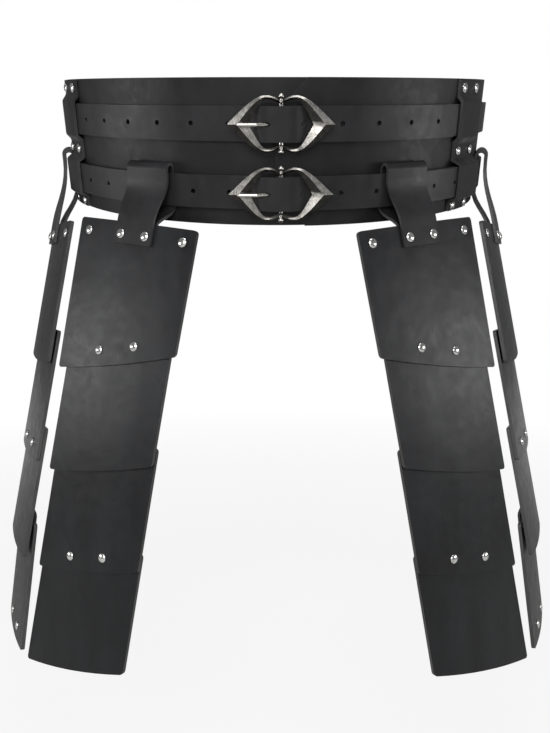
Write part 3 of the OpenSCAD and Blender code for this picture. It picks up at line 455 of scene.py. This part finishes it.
def rivet_profile(length_mm, domed):
    """Length runs from the far face of the washer to the seat of the head."""
    far = -length_mm
    washer = [(2.7, far), (3.1, far + 0.15), (3.2, far + 0.4), (3.1, far + 0.7),
              (2.9, far + WASHER_MM), (1.5, far + WASHER_MM), (1.5, 0)]
    dome = [(3.7, 0), (3.95, 0.12), (4.0, 0.35), (3.86, 0.62), (3.52, 0.9), (3.0, 1.21), (2.35, 1.49),
            (1.6, 1.71), (0.8, 1.86), (0.2, 1.9)]
    flat = [(2.9, 0), (3.2, 0.15), (3.2, 0.5), (2.9, WASHER_MM), (0.3, WASHER_MM)]
    return washer + (dome if domed else flat)


def islands(mesh):
    """Vertex numbers of each loose part."""
    root = list(range(len(mesh.vertices)))

    def find(i):
        while root[i] != i:
            root[i] = root[root[i]]
            i = root[i]
        return i

    for line in mesh.edges:
        root[find(line.vertices[0])] = find(line.vertices[1])
    groups = {}
    for i in range(len(root)):
        groups.setdefault(find(i), []).append(i)
    return list(groups.values())


def rivet_seat(points):
    """Where a rivet's head sits, which way it points, its length and whether it is domed."""
    middle = points.mean(axis=0)
    spread, ways = np.linalg.eigh(np.cov((points - middle).T))
    # The two ways across a rivet spread alike, and the third is its axis
    axis = ways[:, 0] if spread[1] - spread[0] > spread[2] - spread[1] else ways[:, 2]
    along = (points - middle) @ axis
    across_mm = np.linalg.norm(points - middle - np.outer(along, axis), axis=1) / MM
    domed = across_mm.max() > DOME_OVER_MM
    rim = along[across_mm > across_mm.max() - RIM_MM]
    base = rim.mean() if domed else along.max() - WASHER_MM * MM
    if domed and along.max() - base > base - along.min():
        axis, along, base = -axis, -along, -base
    length_mm = round((base - along.min()) / MM, 2)
    return middle + axis * base, axis, length_mm, domed


patterns = {}
for node in SLOT_OF:
    if not node.endswith("rivets"):
        continue
    guide = copied(node, "guide", flat_angle=0.01)
    points = np.array([vertex.co for vertex in guide.data.vertices])
    caps = []
    for group in islands(guide.data):
        seat, axis, length_mm, domed = rivet_seat(points[group])
        if (length_mm, domed) not in patterns:
            patterns[length_mm, domed] = turned("rivet_pattern", rivet_profile(length_mm, domed))
        cap = duplicate(patterns[length_mm, domed])
        turn = Vector(axis).to_track_quat("Z", "Y").to_matrix().to_4x4()
        cap.matrix_world = Matrix.Translation(Vector(seat)) @ turn
        make_active(cap)
        apply_place()
        caps.append(cap)
    delete(guide)
    piece = join(caps, node + "_caps")
    piece.data.materials.append(NICKEL)
    stands_for(piece, node)
for pattern in patterns.values():
    delete(pattern)

# Buckles and prongs: cast and drawn metal, rounded at blunter corners than leather is
METAL_CORNER = 24
for level in ("upper", "lower"):
    for part, skin, edge_mm in (("buckle", PEWTER, 0.45), ("prong", STEEL, 0.2)):
        node = f"{level}_{part}"
        piece = copied(node, node + "_metal")
        piece.data.materials.append(skin)
        rounded(piece, edge_mm, METAL_CORNER)
        stands_for(piece, node)


# Studio
def white_rays(tree, backdrop):
    """Two shares of white: for what the camera sees, and for what a shiny or clear surface
    mirrors of the backdrop."""
    rays = add(tree, "ShaderNodeLightPath").outputs
    bounced = add(tree, "ShaderNodeMath", {"operation": "MAXIMUM"},
                  {0: rays["Is Glossy Ray"], 1: rays["Is Transmission Ray"]})
    mirrored = add(tree, "ShaderNodeMath", {"operation": "MULTIPLY"}, {0: bounced, 1: backdrop})
    return rays["Is Camera Ray"], mirrored


# Floor: pale paper that shows white behind the object and keeps its shadow
FLOOR_PLACE = (0, 4, -0.62)
FLOOR_SIZE = (8, 12, 1)
# White enough near the object to leave a soft shadow, and all white further off
WHITE_BY_DISTANCE = {"From Min": 0.8, "From Max": 2.2, "To Min": 0.86, "To Max": 1.0}
# What mirrors the floor sees it white behind the object only
WHITE_BY_DEPTH = {"From Min": 0.4, "From Max": 1.6}
bpy.ops.mesh.primitive_plane_add(size=1, location=FLOOR_PLACE)
floor = bpy.context.object
floor.scale = FLOOR_SIZE
floor.name = "floor"
paper, tree = new_material("white paper")
position = add(tree, "ShaderNodeNewGeometry").outputs["Position"]
depth = add(tree, "ShaderNodeSeparateXYZ", None, {0: position}).outputs["Y"]
distance = add(tree, "ShaderNodeVectorMath", {"operation": "LENGTH"}, {0: position}).outputs["Value"]
whole = add(tree, "ShaderNodeMapRange", WHITE_BY_DISTANCE, {"Value": distance})
behind = add(tree, "ShaderNodeMapRange", WHITE_BY_DEPTH, {"Value": depth})
camera_ray, mirrored = white_rays(tree, behind)
seen = add(tree, "ShaderNodeMath", {"operation": "MULTIPLY"}, {0: whole, 1: camera_ray})
share = add(tree, "ShaderNodeMath", {"operation": "MAXIMUM"}, {0: seen, 1: mirrored})
sheet = add(tree, "ShaderNodeBsdfPrincipled", {"Base Color": "#d2d2d0", "Roughness": 0.9})
glow = add(tree, "ShaderNodeEmission", {"Color": WHITE, "Strength": 1.0})
both = add(tree, "ShaderNodeMixShader", None, {0: share, 1: sheet, 2: glow})
add(tree, "ShaderNodeOutputMaterial", None, {"Surface": both})
floor.data.materials.append(paper)

# A dim studio with a white backdrop behind the object. Diffuse light comes from the dim
# walls, and the backdrop shows to the camera and in what mirrors it. A direction meets it
# where its Y is over these values.
BACKDROP = {"From Min": 0.86, "From Max": 0.94}
DIM_TO_WHITE = {"To Min": 0.24, "To Max": 1.0}
world = bpy.data.worlds.new("studio")
bpy.context.scene.world = world
world.use_nodes = True
tree = world.node_tree
tree.nodes.clear()
direction = add(tree, "ShaderNodeTexCoord").outputs["Generated"]
backward = add(tree, "ShaderNodeSeparateXYZ", None, {0: direction}).outputs["Y"]
backdrop = add(tree, "ShaderNodeMapRange", BACKDROP, {"Value": backward})
camera_ray, mirrored = white_rays(tree, backdrop)
white = add(tree, "ShaderNodeMath", {"operation": "MAXIMUM"}, {0: camera_ray, 1: mirrored})
level = add(tree, "ShaderNodeMapRange", DIM_TO_WHITE, {"Value": white})
walls = add(tree, "ShaderNodeBackground", {"Color": WHITE}, {"Strength": level})
add(tree, "ShaderNodeOutputWorld", None, {"Surface": walls})


def softbox(name, place, aim, size, watts):
    """A rectangular lamp that stands at a place and faces its aim."""
    bpy.ops.object.light_add(type="AREA", location=place)
    lamp = bpy.context.object
    lamp.name = name
    lamp.data.shape = "RECTANGLE"
    lamp.data.size, lamp.data.size_y = size
    lamp.data.energy = watts
    lamp.rotation_euler = (Vector(aim) - Vector(place)).to_track_quat("-Z", "Y").to_euler()


BETWEEN_COLUMNS = (0, -0.15, -0.2)
softbox("key", (-0.15, -1.5, 0.2), BETWEEN_COLUMNS, size=(1.0, 0.7), watts=15)
softbox("top", (0.1, -0.7, 1.3), BETWEEN_COLUMNS, size=(1.2, 0.6), watts=8)
# One at each side, as high as the top plates, so that they mirror it more than the lower ones
for side, turn in zip(SIDES, (-1, 1)):
    softbox(side, (turn * 1.25, -0.42, -0.13), (turn * 0.1, -0.15, -0.25), size=(0.7, 0.24), watts=5)

# Camera: in front of the buckles and a little under the belt, looking slightly down
CAMERA_PLACE = (0, -0.6705, -0.1705)
CAMERA_DOWN = math.radians(5.3)
LENS_MM = 31.5
SENSOR_MM = 36
camera_data = bpy.data.cameras.new("camera")
camera = bpy.data.objects.new("camera", camera_data)
bpy.context.scene.collection.objects.link(camera)
camera_data.sensor_fit = "VERTICAL"
camera_data.sensor_height = SENSOR_MM
camera_data.lens = LENS_MM
camera.location = CAMERA_PLACE
camera.rotation_euler = (math.radians(90) - CAMERA_DOWN, 0, 0)
bpy.context.scene.camera = camera
bpy.context.scene.view_settings.view_transform = "Standard"
